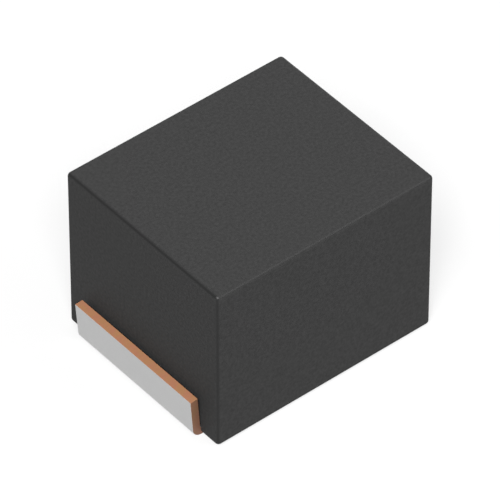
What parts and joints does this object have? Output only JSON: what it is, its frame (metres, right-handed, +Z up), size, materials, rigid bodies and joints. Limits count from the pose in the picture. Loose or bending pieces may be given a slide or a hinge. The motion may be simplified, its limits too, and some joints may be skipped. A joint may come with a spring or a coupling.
{
  "type": "shielded smd inductor",
  "caption": "Small black moulded chip inductor with a shielded wound core inside and a folded, tinned strip terminal at each end for soldering to a board.",
  "frame": {"origin": "on the solder plane, in the middle of the footprint", "axes": "+X runs from the left terminal to the right terminal, +Y across the body, +Z up from the board"},
  "size_m": [0.0032, 0.0024, 0.0022],
  "materials": {
    "mould_compound": "matt black epoxy with a fine grain",
    "tinned_copper": "matt tin plating, with bare copper on the cut edges",
    "ferrite": "dark grey fired ferrite, dry and faintly speckled",
    "enamelled_wire": "copper under clear amber enamel",
    "core_glue": "cured amber epoxy adhesive",
    "weld_metal": "bright weld metal"
  },
  "bodies": {
    "root": {"moulded_body": "mould_compound", "left_terminal": "tinned_copper", "right_terminal": "tinned_copper", "shield_sleeve": "ferrite", "drum_core": "ferrite", "winding": "enamelled_wire", "left_glue_ring": "core_glue", "right_glue_ring": "core_glue", "left_weld_bead": "weld_metal", "right_weld_bead": "weld_metal"}
  },
  "joints": []
}
